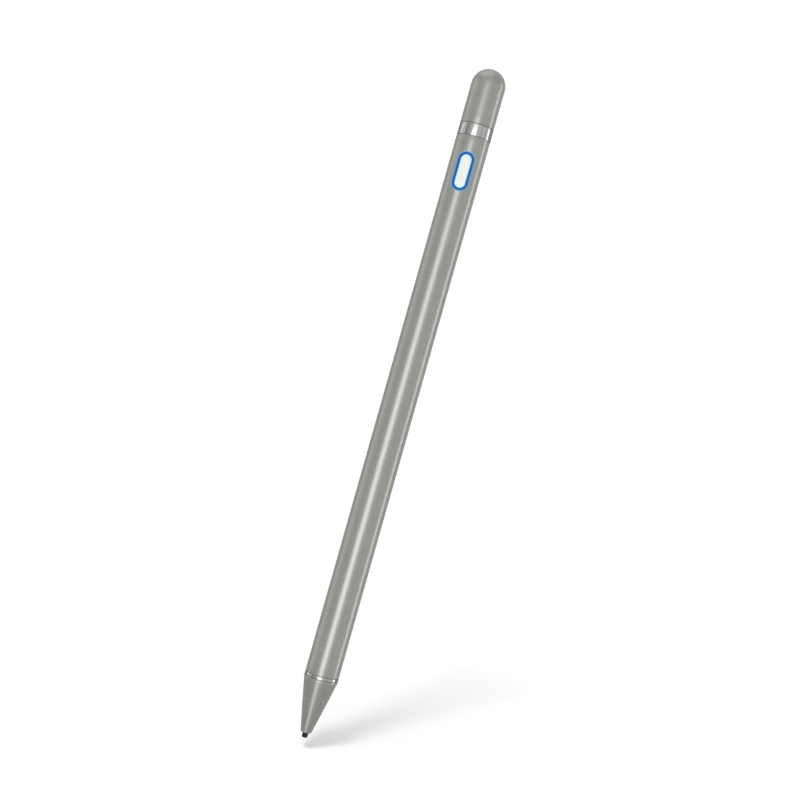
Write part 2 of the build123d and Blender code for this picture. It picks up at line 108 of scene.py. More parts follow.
def arc3(p0, p1, p2, k):
    """k + 1 points on the arc through three points."""
    (ax, ay), (bx, by), (cx, cy) = p0, p1, p2
    d = 2 * (ax * (by - cy) + bx * (cy - ay) + cx * (ay - by))
    ux = ((ax**2 + ay**2) * (by - cy) + (bx**2 + by**2) * (cy - ay) + (cx**2 + cy**2) * (ay - by)) / d
    uy = ((ax**2 + ay**2) * (cx - bx) + (bx**2 + by**2) * (ax - cx) + (cx**2 + cy**2) * (bx - ax)) / d
    r = math.hypot(ax - ux, ay - uy)
    t0, t1, t2 = (math.atan2(y - uy, x - ux) for x, y in (p0, p1, p2))
    turn = lambda a, b: (b - a) % (2 * math.pi)
    sweep = turn(t0, t2) if turn(t0, t1) < turn(t0, t2) else turn(t0, t2) - 2 * math.pi
    return [(ux + r * math.cos(t0 + sweep * i / k), uy + r * math.sin(t0 + sweep * i / k)) for i in range(k + 1)]


def rounded(points, closed=True, k=5):
    """Profile with its corners rounded: each point is (r, z) or (r, z, radius)."""
    out, n = [], len(points)
    for i, p in enumerate(points):
        f, q = (p[2] if len(p) > 2 else 0), np.array(p[:2], float)
        if not f or (not closed and i in (0, n - 1)):
            out.append(tuple(q))
            continue
        u = np.array(points[i - 1][:2], float) - q
        w = np.array(points[(i + 1) % n][:2], float) - q
        u, w = u / np.linalg.norm(u), w / np.linalg.norm(w)
        half = math.acos(max(-1, min(1, float(u @ w)))) / 2
        mid = (u + w) / np.linalg.norm(u + w)
        c = q + mid * f / math.sin(half)
        a, b = q + u * f / math.tan(half) - c, q + w * f / math.tan(half) - c
        t0, t1 = math.atan2(a[1], a[0]), math.atan2(b[1], b[0])
        d = (t1 - t0 + math.pi) % (2 * math.pi) - math.pi
        out.extend((c[0] + f * math.cos(t0 + d * m / k), c[1] + f * math.sin(t0 + d * m / k)) for m in range(k + 1))
    return out


def lathe(name, profile, closed, sharp=28.0):
    b = Build()
    rows = [b.row(ring(r, z)) for r, z in profile]
    for a, c in zip(rows, rows[1:] + (rows[:1] if closed else [])):
        b.skin(a, c)
    return b.object(name, sharp)


# ------------------------------------------------------------------ slot-shaped rings for the button
N_STR, N_SIDE, N_TOP = 16, 10, 40
N_ARC = 2 * N_SIDE + N_TOP


def slot(w):
    """(x, z) round a slot of half width w, z from the button's middle; the right side comes first."""
    pts = [(w, -SLOT_HALF + 2 * SLOT_HALF * i / N_STR) for i in range(N_STR)]
    pts += [(w * math.cos(math.pi * i / N_ARC), SLOT_HALF + w * math.sin(math.pi * i / N_ARC)) for i in range(N_ARC)]
    pts += [(-w, SLOT_HALF - 2 * SLOT_HALF * i / N_STR) for i in range(N_STR)]
    pts += [(-w * math.cos(math.pi * i / N_ARC), -SLOT_HALF - w * math.sin(math.pi * i / N_ARC)) for i in range(N_ARC)]
    return pts


def on_round(w, r):
    return [(x, -math.sqrt(r * r - x * x), BUTTON_Z + z) for x, z in slot(w)]


def on_plane(w, y):
    return [(x, -y, BUTTON_Z + z) for x, z in slot(w)]


# ------------------------------------------------------------------ barrel
def make_barrel():
    b = Build()
    e = 0.12
    half_z = 7.5
    steps = [-half_z + (half_z - SLOT_HALF) * i / N_SIDE for i in range(N_SIDE)]
    steps += [-SLOT_HALF + 2 * SLOT_HALF * i / N_STR for i in range(N_STR)]
    steps += [SLOT_HALF + (half_z - SLOT_HALF) * i / N_SIDE for i in range(N_SIDE + 1)]
    z_lo = BUTTON_Z - half_z
    n_low = 30
    body = [BARREL_Z0 + e + (z_lo - BARREL_Z0 - e) * i / n_low for i in range(n_low)]
    body += [BUTTON_Z + s for s in steps]
    body += [BARREL_Z1 - e]
    first = n_low  # first row of the patch round the window
    last = first + len(steps) - 1
    foot = rounded([(BARREL_IN_R, BARREL_Z0 + 0.4), (BARREL_IN_R, BARREL_Z0, 0.03), (PEN_R, BARREL_Z0, e), (PEN_R, BARREL_Z0 + 0.4)], closed=False)[1:-1]
    head = rounded([(PEN_R, BARREL_Z1 - 0.4), (PEN_R, BARREL_Z1, e), (BARREL_IN_R, BARREL_Z1, 0.03), (BARREL_IN_R, BARREL_Z1 - 0.4)], closed=False)[1:-1]
    outer = [b.row(ring(PEN_R, z)) for z in body]
    inner = [b.row(ring(BARREL_IN_R, z)) for z in body]
    foot_rows = [b.row(ring(r, z)) for r, z in foot]
    head_rows = [b.row(ring(r, z)) for r, z in head]
    patch = range(N_TOP)
    for rows in (outer, inner):
        for i in range(len(rows) - 1):
            b.skin(rows[i], rows[i + 1], skip=patch if first <= i < last else ())
    chain = [inner[0]] + foot_rows + [outer[0]]
    for a, c in zip(chain, chain[1:]):
        b.skin(a, c)
    chain = [outer[-1]] + head_rows + [inner[-1]]
    for a, c in zip(chain, chain[1:]):
        b.skin(a, c)

    # the patch: rings that go from a rectangle on the barrel to the edge of the window
    lim = math.radians(50)
    rect = [(lim, s) for s in steps[N_SIDE : N_SIDE + N_STR]]
    rect += [(lim, SLOT_HALF + (half_z - SLOT_HALF) * i / N_SIDE) for i in range(N_SIDE)]
    rect += [(lim - 2 * lim * i / N_TOP, half_z) for i in range(N_TOP)]
    rect += [(-lim, half_z - (half_z - SLOT_HALF) * i / N_SIDE) for i in range(N_SIDE)]
    rect += [(-lim, SLOT_HALF - 2 * SLOT_HALF * i / N_STR) for i in range(N_STR)]
    rect += [(-lim, -SLOT_HALF - (half_z - SLOT_HALF) * i / N_SIDE) for i in range(N_SIDE)]
    rect += [(-lim + 2 * lim * i / N_TOP, -half_z) for i in range(N_TOP)]
    rect += [(lim, -half_z + (half_z - SLOT_HALF) * i / N_SIDE) for i in range(N_SIDE)]

    def patch_rows(r, w):
        edge = [(math.asin(x / r), z) for x, z in slot(w)]
        rows = []
        for t in (1.0, 0.78, 0.58, 0.40, 0.26, 0.15, 0.07, 0.0):
            rows.append(
                b.row(
                    [
                        (r * math.sin(pe + (pr - pe) * t), -r * math.cos(pe + (pr - pe) * t), BUTTON_Z + ze + (zr - ze) * t)
                        for (pe, ze), (pr, zr) in zip(edge, rect)
                    ]
                )
            )
        return rows

    br = 0.06  # broken edge of the window
    chain = patch_rows(PEN_R, WINDOW_W + br)
    for i in range(1, 5):
        a = math.pi / 2 * i / 4
        chain.append(b.row(on_round(WINDOW_W + br * (1 - math.sin(a)), PEN_R - br * (1 - math.cos(a)))))
    chain.append(b.row(on_round(WINDOW_W, 4.05)))
    chain += patch_rows(BARREL_IN_R, WINDOW_W)[::-1]
    for a, c in zip(chain, chain[1:]):
        b.skin(a, c)
    return b.object("barrel_tube")


# ------------------------------------------------------------------ light ring and key
def make_light_ring():
    b = Build()
    e, top = 0.06, 4.385
    rows = []
    for i in range(6):  # outer edge
        a = math.pi / 2 * i / 5
        rows.append(b.row(on_round(LIGHT_W - e * (1 - math.sin(a)), top - e * (1 - math.cos(a)))))
    rows.append(b.row(on_round(LIGHT_W, 4.05)))
    rows.append(b.row(on_round(LIGHT_W, 3.75)))
    rows.append(b.row(on_round(2.30, 3.75)))
    rows.append(b.row(on_round(2.50, 3.75)))
    rows.append(b.row(on_plane(2.50, 2.75)))
    rows.append(b.row(on_plane(2.00, 2.75)))
    rows.append(b.row(on_plane(LIGHT_IN_W, 2.75)))
    rows.append(b.row(on_plane(LIGHT_IN_W, 3.40)))
    for i in range(6):  # inner edge
        a = math.pi / 2 * i / 5
        rows.append(b.row(on_round(LIGHT_IN_W + e * (1 - math.cos(a)), top - e * (1 - math.sin(a)))))
    for t in (0.2, 0.5, 0.8):  # slightly crowned top
        rows.append(b.row(on_round(LIGHT_IN_W + e + (LIGHT_W - LIGHT_IN_W - 2 * e) * t, top + 0.036 * t * (1 - t))))
    for a, c in zip(rows, rows[1:] + rows[:1]):
        b.skin(a, c)
    return b.object("light_frame")


def make_key():
    b = Build()
    e, top = 0.14, 4.36
    crown = lambda w: top + 0.030 * (1 - (w / KEY_W) ** 2)
    rows = [b.row(on_round(w, crown(w))) for w in (0.0, 0.35, 0.7, 1.0)]
    for i in range(7):
        a = math.pi / 2 * i / 6
        w = KEY_W - e * (1 - math.sin(a))
        rows.append(b.row(on_round(w, crown(KEY_W - e) - e * (1 - math.cos(a)))))
    rows.append(b.row(on_plane(KEY_W, 3.20)))
    rows.append(b.row(on_plane(KEY_W, 2.65)))
    rows.append(b.row(on_plane(1.72, 2.65)))
    rows.append(b.row(on_plane(1.80, 2.57)))
    rows.append(b.row(on_plane(1.80, 2.25)))

    def disc(r, y):
        pts = []
        for x, z in slot(1.80):
            a = math.atan2(z, x)
            pts.append((r * math.cos(a), -y, BUTTON_Z + r * math.sin(a)))
        return b.row(pts)

    rows += [disc(1.1, 2.25), disc(0.70, 2.25), disc(0.70, 1.91), disc(0.66, 1.87), disc(0.30, 1.87), disc(0.0, 1.87)]
    for a, c in zip(rows, rows[1:]):
        b.skin(a, c)
    return b.object("key_face")


# ------------------------------------------------------------------ cone with its thread
PITCH, PHASE, T_Z0, T_Z1 = 0.50, 16.98, 17.10, 20.60
CREST, ROOT, H_CREST, H_BASE = 2.75, 2.46, 0.045, 0.200


def thread_r(z, turn):
    """Radius of the thread at height z, at that part of a turn from +X."""
    d = abs((z - PHASE - PITCH * turn + PITCH / 2) % PITCH - PITCH / 2)
    if d <= H_CREST:
        return CREST
    if d >= H_BASE:
        return ROOT
    return CREST + (ROOT - CREST) * (d - H_CREST) / (H_BASE - H_CREST)


def make_cone():
    b = Build()
    neck, bore, end_z = 2.42, 1.85, 15.94
    outer = [(neck, T_Z0), (neck, end_z + 0.15)]
    outer += rounded([(neck, end_z + 0.6), (neck, end_z, 0.05), (PEN_R, end_z, 0.12), (PEN_R, 15.60)], closed=False)[1:-1]
    side = arc3((PEN_R, 15.68), (4.365, 15.36), (4.300, 15.05), 4)
    side += arc3((4.300, 15.05), (3.150, 9.46), (1.435, 1.68), 40)[1:]
    side += arc3((1.435, 1.68), (1.375, 1.545), (1.24, 1.50), 8)[1:]
    outer += side
    outer += [(1.05, 1.50)]
    outer += rounded([(1.05, 1.50), (0.80, 1.50, 0.06), (0.80, 2.85), (1.20, 2.85), (1.20, 8.00), (bore, 8.00), (bore, T_Z1)], closed=False)[1:]
    rows = [b.row(ring(r, z)) for r, z in outer]
    for a, c in zip(rows, rows[1:]):
        b.skin(a, c)
    # thread: the points of a column climb with the turn, so the ridge follows the mesh
    turns = [((p - math.pi / 2) / (2 * math.pi)) for p in PHI]
    k0 = math.floor((T_Z0 - PHASE) / PITCH) - 2
    k1 = math.ceil((T_Z1 - PHASE) / PITCH) + 2
    cols = []
    for p, t in zip(PHI, turns):
        col = []
        for k in range(k0, k1 + 1):
            zc = PHASE + PITCH * (k + t)
            for dz in (-H_BASE, -H_CREST, H_CREST, H_BASE):
                z = min(max(zc + dz, T_Z0), T_Z1)
                r = thread_r(z, t)
                col.append((r * math.sin(p), -r * math.cos(p), z))
        cols.append(b.row(col))
    n = len(cols)
    for j in range(n):
        here = cols[j]
        there = cols[j + 1] if j + 1 < n else cols[0][4:]
        for m in range(len(there) - 1):
            b.f.append((here[m], there[m], there[m + 1], here[m + 1]))
    foot = b.row([(thread_r(T_Z0, t) * math.sin(p), -thread_r(T_Z0, t) * math.cos(p), T_Z0) for p, t in zip(PHI, turns)])
    head = b.row([(thread_r(T_Z1, t) * math.sin(p), -thread_r(T_Z1, t) * math.cos(p), T_Z1) for p, t in zip(PHI, turns)])
    b.skin(rows[0], foot)
    b.skin(head, rows[-1])
    return b.object("cone_shell")


# ------------------------------------------------------------------ turned pieces
def make_nib():
    prof = arc3((0.0, 0.0), (0.18, 0.008), (0.36, 0.035), 6) + arc3((0.36, 0.035), (0.64, 0.16), (0.75, 0.46), 10)[1:]
    prof += rounded(
        [(0.75, 0.46), (0.75, 2.88), (1.15, 2.88, 0.05), (1.15, 3.72, 0.05), (0.45, 3.72), (0.45, 8.00, 0.06), (0.0, 8.00)], closed=False, k=3
    )[1:]
    return lathe("nib_tip", prof, False)


def make_band(name, bore, z0, z1, e):
    k = 0.05
    return lathe(
        name,
        rounded([(bore, z0, k), (PEN_R, z0, e), (PEN_R, (z0 + z1) / 2), (PEN_R, z1, e), (bore, z1, k)], closed=True, k=6),
        True,
    )


def make_cap():
    bore, z0, dome = 4.00, 161.31, 171.96
    arc = lambda r: [(r * math.cos(math.pi / 2 * i / 36), dome + r * math.sin(math.pi / 2 * i / 36)) for i in range(36, -1, -1)]
    prof = arc(PEN_R) + [(PEN_R, dome - (dome - z0) * i / 6) for i in range(1, 6)]
    prof += rounded([(PEN_R, z0 + 1), (PEN_R, z0, 0.12), (bore, z0, 0.06), (bore, z0 + 1)], closed=False)[1:-1]
    prof += [(bore, z0 + (dome - z0) * i / 6) for i in range(1, 6)] + arc(bore)[::-1]
    return lathe("cap_shell", prof, False)


# ------------------------------------------------------------------ materials
class Mat:
    def __init__(self, name):
        self.m = bpy.data.materials.new(name)
        self.m.use_nodes = True
        self.nt = self.m.node_tree
        self.nt.nodes.clear()
        self.out = self.node("ShaderNodeOutputMaterial")
        self.bsdf = self.node("ShaderNodeBsdfPrincipled")
        self.link(self.bsdf.outputs["BSDF"], self.out.inputs["Surface"])
        self.coord = self.node("ShaderNodeTexCoord").outputs["Object"]

    def node(self, kind, **props):
        n = self.nt.nodes.new(kind)
        for k, v in props.items():
            setattr(n, k, v)
        return n

    def link(self, a, b):
        self.nt.links.new(a, b)

    def put(self, **values):
        for k, v in values.items():
            s = self.bsdf.inputs[k.replace("_", " ")]
            if isinstance(v, bpy.types.NodeSocket):
                self.link(v, s)
            elif isinstance(v, tuple):
                s.default_value = (*v, 1.0)
            else:
                s.default_value = v
        return self

    def stretch(self, x, y, z):
        n = self.node("ShaderNodeMapping")
        n.inputs["Scale"].default_value = (x, y, z)
        self.link(self.coord, n.inputs["Vector"])
        return n.outputs["Vector"]

    def noise(self, scale, detail=3.0, rough=0.55, vector=None):
        n = self.node("ShaderNodeTexNoise")
        n.inputs["Scale"].default_value = scale
        n.inputs["Detail"].default_value = detail
        n.inputs["Roughness"].default_value = rough
        self.link(vector or self.coord, n.inputs["Vector"])
        return n.outputs["Fac"]

    def cells(self, scale, vector=None, feature="F1"):
        n = self.node("ShaderNodeTexVoronoi", feature=feature)
        n.inputs["Scale"].default_value = scale
        self.link(vector or self.coord, n.inputs["Vector"])
        return n.outputs["Distance"]

    def ramp(self, fac, *stops):
        n = self.node("ShaderNodeValToRGB")
        el = n.color_ramp.elements
        while len(el) < len(stops):
            el.new(0.5)
        for e, (pos, col) in zip(el, stops):
            e.position, e.color = pos, (*col, 1.0)
        self.link(fac, n.inputs["Fac"])
        return n.outputs["Color"]

    def span(self, value, to_lo, to_hi, lo=0.3, hi=0.7, kind="LINEAR"):
        n = self.node("ShaderNodeMapRange", interpolation_type=kind)
        n.inputs["From Min"].default_value = lo
        n.inputs["From Max"].default_value = hi
        n.inputs["To Min"].default_value = to_lo
        n.inputs["To Max"].default_value = to_hi
        self.link(value, n.inputs["Value"])
        return n.outputs["Result"]

    def math(self, op, a, b=None, c=None):
        n = self.node("ShaderNodeMath", operation=op)
        for s, v in zip(n.inputs, (a, b, c)):
            if isinstance(v, bpy.types.NodeSocket):
                self.link(v, s)
            elif v is not None:
                s.default_value = v
        return n.outputs[0]

    def bump(self, height, strength, distance, below=None):
        n = self.node("ShaderNodeBump")
        n.inputs["Strength"].default_value = strength
        n.inputs["Distance"].default_value = distance
        self.link(height, n.inputs["Height"])
        if below is not None:
            self.link(below, n.inputs["Normal"])
        return n.outputs["Normal"]

    def axes(self):
        n = self.node("ShaderNodeSeparateXYZ")
        self.link(self.coord, n.inputs[0])
        return n.outputs[0], n.outputs[1], n.outputs[2]

    def in_mm(self):
        return [self.math("MULTIPLY", v, 1000.0) for v in self.axes()]

    def facing(self):
        """How far the surface faces along each axis, 0 to 1."""
        n = self.node("ShaderNodeSeparateXYZ")
        self.link(self.node("ShaderNodeNewGeometry").outputs["Normal"], n.inputs[0])
        return [self.math("ABSOLUTE", o) for o in n.outputs]

    def away(self, value, middle):
        return self.math("ABSOLUTE", self.math("SUBTRACT", value, middle))

    def nearest(self, value, *middles):
        """Distance from the nearest of some middles."""
        d = self.away(value, middles[0])
        for c in middles[1:]:
            d = self.math("MINIMUM", d, self.away(value, c))
        return d

    def above(self, value, edge, soft=0.02):
        return self.span(value, 0.0, 1.0, edge - soft, edge + soft)

    def below(self, value, edge, soft=0.02):
        return self.span(value, 1.0, 0.0, edge - soft, edge + soft)

    def both(self, a, b):
        return self.math("MULTIPLY", a, b)

    def either(self, a, b):
        return self.math("MAXIMUM", a, b)

    def radius(self, a, b):
        return self.math("SQRT", self.math("ADD", self.math("MULTIPLY", a, a), self.math("MULTIPLY", b, b)))

    def grid(self, value, pitch):
        """Number of the strip that a value lies in, and its place from the strip's middle, in the value's own unit."""
        t = self.math("DIVIDE", value, pitch)
        return self.math("FLOOR", t), self.math("MULTIPLY", self.math("SUBTRACT", self.math("FRACT", t), 0.5), pitch)

    def lot(self, a, b, seed):
        """A fixed number from 0 to 1 for each pair of strips."""
        v = self.node("ShaderNodeCombineXYZ")
        self.link(a, v.inputs[0])
        self.link(b, v.inputs[1])
        v.inputs[2].default_value = seed
        n = self.node("ShaderNodeTexWhiteNoise", noise_dimensions="3D")
        self.link(v.outputs[0], n.inputs["Vector"])
        return n.outputs["Value"]

    def blend(self, fac, a, b):
        """Colour a where fac is 0, colour b where it is 1."""
        n = self.node("ShaderNodeMix", data_type="RGBA")
        self.link(fac, n.inputs[0])
        for s, v in ((n.inputs[6], a), (n.inputs[7], b)):
            if isinstance(v, bpy.types.NodeSocket):
                self.link(v, s)
            else:
                s.default_value = (*v, 1.0)
        return n.outputs[2]

    def slot_distance(self):
        """Distance from the middle line of the button's slot, in mm, seen from the front."""
        x, y, z = self.axes()
        dz = self.math("SUBTRACT", z, BUTTON_Z * MM)
        dz = self.math("MAXIMUM", self.math("SUBTRACT", self.math("ABSOLUTE", dz), SLOT_HALF * MM), 0.0)
        d = self.math("SQRT", self.math("ADD", self.math("MULTIPLY", x, x), self.math("MULTIPLY", dz, dz)))
        return self.math("MULTIPLY", d, 1000.0), y


def shade(c, k):
    return tuple(v * k for v in c)


def plastic(name, colour, rough, grain=2500.0, depth=0.10, vary=0.06, coat=0.0):
    m = Mat(name)
    broad, fine = m.noise(220.0, 2.0), m.noise(grain, 3.0)
    m.put(
        Base_Color=m.ramp(broad, (0.30, shade(colour, 1 - vary)), (0.70, shade(colour, 1 + vary))),
        Roughness=m.span(fine, rough - 0.06, rough + 0.06),
        Normal=m.bump(fine, depth, 2.0e-5),
        Coat_Weight=coat,
        Coat_Roughness=0.12,
    )
    return m


def metal(name, colour, rough, lines=(1.0, 1.0, 1.0), scale=3000.0, depth=0.05, vary=0.05):
    """Metal with fine tool marks; lines squeezes the marks along the axes."""
    m = Mat(name)
    marks = m.noise(scale, 4.0, 0.6, m.stretch(*lines))
    broad = m.noise(300.0, 2.0)
    m.put(
        Metallic=1.0,
        Base_Color=m.ramp(broad, (0.30, shade(colour, 1 - vary)), (0.70, shade(colour, 1 + vary))),
        Roughness=m.span(marks, rough * 0.75, rough * 1.3),
        Normal=m.bump(marks, depth, 1.0e-5),
    )
    return m


PAINT = (0.395, 0.397, 0.370)


def paint(name, colour, glow=False):
    """Satin metallic paint: fine flake, a trace of orange peel, and soft changes of gloss along the body."""
    m = Mat(name)
    flake = m.cells(7000.0)
    soft = m.noise(90.0, 2.0)
    grain = m.noise(5200.0, 3.0, 0.6)
    peel = m.noise(700.0, 1.0)
    tint = m.ramp(flake, (0.05, shade(colour, 1.025)), (0.45, colour), (0.95, shade(colour, 0.98)))
    mix = m.node("ShaderNodeMix", data_type="RGBA", blend_type="MULTIPLY")
    mix.inputs[0].default_value = 1.0
    m.link(tint, mix.inputs[6])
    m.link(m.ramp(soft, (0.30, (0.975, 0.975, 0.975)), (0.70, (1.02, 1.02, 1.02))), mix.inputs[7])
    base = mix.outputs[2]
    if glow:
        # painted glow and painted blue tint: the ring's light spilling on the paint round the window, put into the
        # paint's own emission and colour
        d, y = m.slot_distance()
        near = m.math("POWER", m.span(d, 1.0, 0.0, WINDOW_W, WINDOW_W + 0.75, "SMOOTHSTEP"), 1.6)
        near = m.math("MULTIPLY", near, m.span(y, 1.0, 0.0, -0.0030, -0.0020))
        blue = m.node("ShaderNodeMix", data_type="RGBA", blend_type="MULTIPLY")
        blue.inputs[0].default_value = 1.0
        m.link(base, blue.inputs[6])
        m.link(m.ramp(near, (0.0, (1.0, 1.0, 1.0)), (1.0, (0.76, 0.88, 1.0))), blue.inputs[7])
        base = blue.outputs[2]
        m.put(Emission_Color=(0.02, 0.36, 1.0), Emission_Strength=m.math("MULTIPLY", near, 0.26))
    m.put(
        Base_Color=base,
        Metallic=0.54,
        Roughness=m.math("ADD", m.span(soft, -0.015, 0.015), m.span(grain, 0.265, 0.285)),
        Normal=m.bump(grain, 0.015, 4.0e-6, m.bump(peel, 0.03, 6.0e-6)),
    )
    return m


def make_materials():
    M = {}
    M["body"] = paint("satin_grey", PAINT)
    M["barrel"] = paint("satin_grey_barrel", PAINT, glow=True)
    # bright rings: polished, with faint turning lines round the pen; their flat ends, down in the seams between parts,
    # are duller and carry a darker colour as painted shade
    m = Mat("bright_ring")
    turned = m.noise(1.0, 3.0, 0.6, m.stretch(120.0, 120.0, 26000.0))
    cloud = m.noise(260.0, 2.0)
    across = m.node("ShaderNodeSeparateXYZ")
    m.link(m.node("ShaderNodeNewGeometry").outputs["Normal"], across.inputs[0])
    end = m.span(m.math("ABSOLUTE", across.outputs[2]), 0.0, 1.0, 0.90, 0.98)
    # painted shade: the end faces in the seams get a darker colour than the polished band
    painted_seam_shade = m.node("ShaderNodeMix", data_type="RGBA")
    m.link(end, painted_seam_shade.inputs[0])
    m.link(m.ramp(cloud, (0.30, (0.530, 0.531, 0.523)), (0.70, (0.565, 0.566, 0.557))), painted_seam_shade.inputs[6])
    m.link(m.ramp(cloud, (0.30, (0.245, 0.245, 0.242)), (0.70, (0.280, 0.280, 0.276))), painted_seam_shade.inputs[7])
    m.put(
        Metallic=1.0,
        Base_Color=painted_seam_shade.outputs[2],
        Roughness=m.math("ADD", m.span(turned, 0.07, 0.15), m.math("MULTIPLY", end, 0.24)),
        Specular_Tint=(0.50, 0.50, 0.50),
        Normal=m.bump(turned, 0.10, 1.5e-6),
    )
    M["ring"] = m
    # nib: dense black plastic, dull at the rubbed end
    m = Mat("nib_moulding")
    x, y, z = m.axes()
    worn = m.span(z, 1.0, 0.0, 0.0, 0.0006)
    fine = m.noise(9000.0, 3.0)
    m.put(
        Base_Color=m.ramp(m.math("MULTIPLY", worn, fine), (0.0, (0.007, 0.007, 0.008)), (0.6, (0.026, 0.025, 0.025))),
        Roughness=m.span(fine, 0.36, 0.52),
        Specular_IOR_Level=0.35,
        Normal=m.bump(fine, 0.12, 8.0e-6),
    )
    M["nib"] = m
    # light ring: blue translucent plastic, lit from inside
    m = Mat("blue_light_ring")
    d, y = m.slot_distance()
    across = m.span(d, 0.0, 1.0, LIGHT_IN_W, LIGHT_W)
    mottle = m.noise(1500.0, 2.0)
    m.put(
        Base_Color=m.ramp(mottle, (0.30, (0.006, 0.055, 0.200)), (0.70, (0.010, 0.080, 0.270))),
        Roughness=m.span(mottle, 0.30, 0.42),
        Specular_IOR_Level=0.20,
        Emission_Color=m.ramp(across, (0.0, (0.040, 0.300, 0.700)), (0.22, (0.010, 0.104, 0.340)), (0.70, (0.011, 0.103, 0.328)), (1.0, (0.075, 0.280, 0.580))),
        Emission_Strength=0.53,
    )
    M["light"] = m
    # key: milky white, lit; bluish towards the ring
    m = Mat("milky_key")
    d, y = m.slot_distance()
    across = m.span(d, 0.0, 1.0, 0.0, KEY_W)
    milk = m.noise(900.0, 2.0)
    m.put(
        Base_Color=m.ramp(milk, (0.30, (0.27, 0.267, 0.26)), (0.70, (0.30, 0.297, 0.29))),
        Roughness=m.span(milk, 0.30, 0.42),
        Emission_Color=m.ramp(across, (0.0, (0.83, 0.825, 0.785)), (0.48, (0.83, 0.83, 0.80)), (0.70, (0.75, 0.92, 0.97)), (0.88, (0.60, 0.94, 1.0)), (1.0, (0.40, 0.86, 1.0))),
        Emission_Strength=0.72,
    )
    M["key"] = m
    # pieces inside
    M["brass"] = metal("turned_brass", (0.72, 0.55, 0.27), 0.24, (1.0, 1.0, 9.0))
    M["insulator"] = plastic("white_insulator", (0.72, 0.72, 0.69), 0.45)
    M["black"] = plastic("black_moulding", (0.030, 0.030, 0.033), 0.48, depth=0.18)
    M["spring"] = metal("spring_wire", (0.62, 0.62, 0.63), 0.22, scale=5000.0)
    M["foam"] = plastic("foam_pad", (0.045, 0.045, 0.045), 0.85, grain=3800.0, depth=0.7, vary=0.25)
    M["carrier"] = plastic("grey_carrier", (0.52, 0.52, 0.50), 0.46, depth=0.14)
    M["steel"] = metal("drawn_steel", (0.62, 0.62, 0.61), 0.26, (1.0, 1.0, 0.12))
    M["gold"] = metal("gilt_contact", (0.86, 0.66, 0.28), 0.16, scale=4000.0, depth=0.03)
    M["nickel"] = metal("nickel_plate", (0.66, 0.65, 0.63), 0.14, scale=2500.0, depth=0.03)
    M["plug"] = plastic("grey_plug", (0.115, 0.115, 0.118), 0.42, grain=3200.0, depth=0.16)
    # leads: coloured sleeves, stripped and tinned where they are soldered to the board
    def lead(name, bare_from, left, right):
        m = Mat(name)
        x, y, z = m.in_mm()
        fine = m.noise(2600.0, 2.0)
        bare = m.above(z, bare_from)
        dark = m.blend(m.above(x, 0.0, 0.2), shade(left, 0.90), shade(right, 0.90))
        light = m.blend(m.above(x, 0.0, 0.2), shade(left, 1.10), shade(right, 1.10))
        m.put(
            Base_Color=m.blend(bare, m.blend(m.span(fine, 0.0, 1.0), dark, light), m.ramp(fine, (0.30, (0.58, 0.58, 0.59)), (0.70, (0.72, 0.72, 0.72)))),
            Metallic=bare,
            Roughness=m.math("SUBTRACT", m.span(fine, 0.34, 0.46), m.math("MULTIPLY", bare, 0.10)),
            Normal=m.bump(m.math("SUBTRACT", m.math("MULTIPLY", fine, 0.4), bare), 0.20, 2.0e-5),
        )
        return m

    M["leads"] = lead("battery_lead_pair", 103.30, (0.020, 0.020, 0.022), (0.50, 0.030, 0.022))
    M["yellow"] = lead("yellow_lead", 105.80, (0.65, 0.46, 0.05), (0.65, 0.46, 0.05))
    # cell: blue sleeve over the can, bare at the ends
    m = Mat("cell_sleeve")
    x, y, z = m.axes()
    ends = m.span(m.math("ABSOLUTE", m.math("SUBTRACT", z, 0.066)), 0.0, 1.0, 0.0312, 0.0316)
    wrink = m.noise(700.0, 3.0)
    m.put(
        Base_Color=m.ramp(ends, (0.45, (0.060, 0.165, 0.40)), (0.55, (0.60, 0.60, 0.60))),
        Metallic=m.span(ends, 0.0, 1.0, 0.45, 0.55),
        Roughness=m.span(wrink, 0.26, 0.40),
        Normal=m.bump(wrink, 0.15, 4.0e-5),
    )
    M["cell"] = m
    # board: green mask over square-cornered tracks, plated holes, and bare laminate at its edges
    m = Mat("board_mask")
    x, y, z = m.in_mm()
    nx, ny, nz = m.facing()
    flat = m.above(ny, 0.5, 0.1)
    fine = m.noise(1800.0)

    def tracks(across, along, pitch, length, share, half, seed):
        lane, off = m.grid(across, pitch)
        run = m.grid(along, length)[0]
        line = m.below(m.math("ABSOLUTE", off), half)
        return m.both(line, m.below(m.lot(lane, run, seed), share, 0.001))

